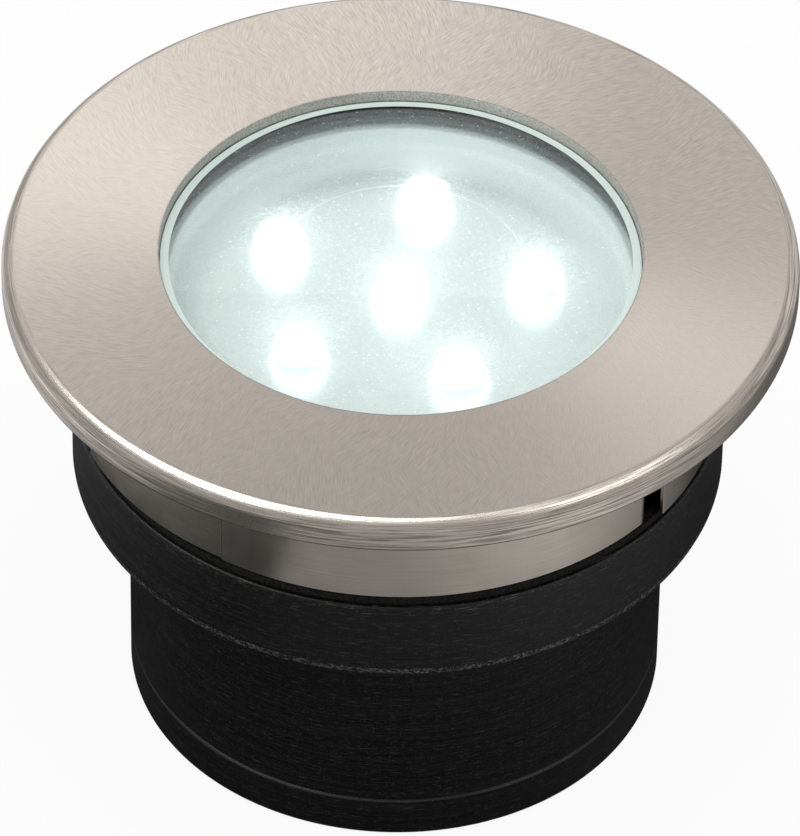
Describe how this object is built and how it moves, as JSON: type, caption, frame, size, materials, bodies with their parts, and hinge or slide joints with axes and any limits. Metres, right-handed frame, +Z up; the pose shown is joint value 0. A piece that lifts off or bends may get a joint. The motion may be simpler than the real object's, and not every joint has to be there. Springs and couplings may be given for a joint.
{
  "type": "in ground well light",
  "caption": "Round recessed ground light: brushed ring, glass window over LEDs, sheet skirt with spring tongues, sealed housing, black plastic mounting pot.",
  "frame": {"origin": "centre of the pot's foot, on the plane it stands on", "axes": "+Z up along the axis of the round pieces, out of the glass; +X to the right and +Y away when seen from the picture's side"},
  "size_m": [0.11, 0.11, 0.0764],
  "materials": {
    "ring_steel": "brushed stainless steel, warm grey",
    "skirt_steel": "satin stainless sheet",
    "screw_steel": "plain stainless steel",
    "window_glass": "clear toughened glass, satin underneath",
    "led_lens": "clear epoxy dome, glowing",
    "reflector_aluminium": "satin anodised aluminium",
    "pot_plastic": "black moulded plastic, scuffed",
    "housing_plastic": "black glass-filled nylon",
    "gland_nylon": "black nylon",
    "foam": "black closed-cell foam",
    "gasket_rubber": "black silicone rubber",
    "board_laminate": "solder-masked glass laminate",
    "tinned_copper": "tinned copper wire",
    "post_brass": "turned brass",
    "ferrite": "pressed ferrite",
    "winding_copper": "enamelled copper wire",
    "capacitor_aluminium": "sleeved aluminium can",
    "chip_resin": "moulded epoxy resin",
    "terminal_plastic": "moulded polyamide"
  },
  "bodies": {
    "pot": {"mounting_pot": "pot_plastic", "base_cap": "pot_plastic", "collar_seal": "foam"},
    "lamp": {"front_ring": "ring_steel", "front_glass": "window_glass", "glass_gasket": "gasket_rubber", "housing_gasket": "gasket_rubber", "skirt_band": "skirt_steel", "lamp_housing": "housing_plastic", "ring_screws": "screw_steel", "board_screws": "screw_steel", "reflector_plate": "reflector_aluminium", "led_1": "led_lens", "led_2": "led_lens", "led_3": "led_lens", "led_4": "led_lens", "led_5": "led_lens", "led_6": "led_lens", "led_board": "board_laminate", "led_pins": "tinned_copper", "link_wires": "tinned_copper", "driver_board": "board_laminate", "driver_posts": "post_brass", "driver_screws": "screw_steel", "coil_core": "ferrite", "coil_winding": "winding_copper", "driver_capacitor": "capacitor_aluminium", "driver_chip": "chip_resin", "bridge_rectifier": "chip_resin", "terminal_block": "terminal_plastic", "gland_body": "gland_nylon", "gland_washer": "gasket_rubber", "gland_locknut": "gland_nylon", "gland_seal": "gasket_rubber", "gland_nut": "gland_nylon"},
    "tongue_1": {"spring_tongue_1": "skirt_steel"},
    "tongue_2": {"spring_tongue_2": "skirt_steel"},
    "tongue_3": {"spring_tongue_3": "skirt_steel"}
  },
  "joints": [
    {"name": "lamp_lift", "type": "slide", "parent": "pot", "child": "lamp", "axis": [0, 0, 1], "range_m": [0, 0.045]},
    {"name": "tongue_flex_1", "type": "hinge", "parent": "lamp", "child": "tongue_1", "pos_m": [0.04446, -0.00185, 0.062], "axis": [0, 0, -1], "range_deg": [0, 2.48], "stiffness_Nm_per_rad": 1},
    {"name": "tongue_flex_2", "type": "hinge", "parent": "lamp", "child": "tongue_2", "pos_m": [-0.02063, 0.03943, 0.062], "axis": [0, 0, -1], "range_deg": [0, 2.48], "stiffness_Nm_per_rad": 1},
    {"name": "tongue_flex_3", "type": "hinge", "parent": "lamp", "child": "tongue_3", "pos_m": [-0.02383, -0.03758, 0.062], "axis": [0, 0, -1], "range_deg": [0, 2.48], "stiffness_Nm_per_rad": 1}
  ]
}
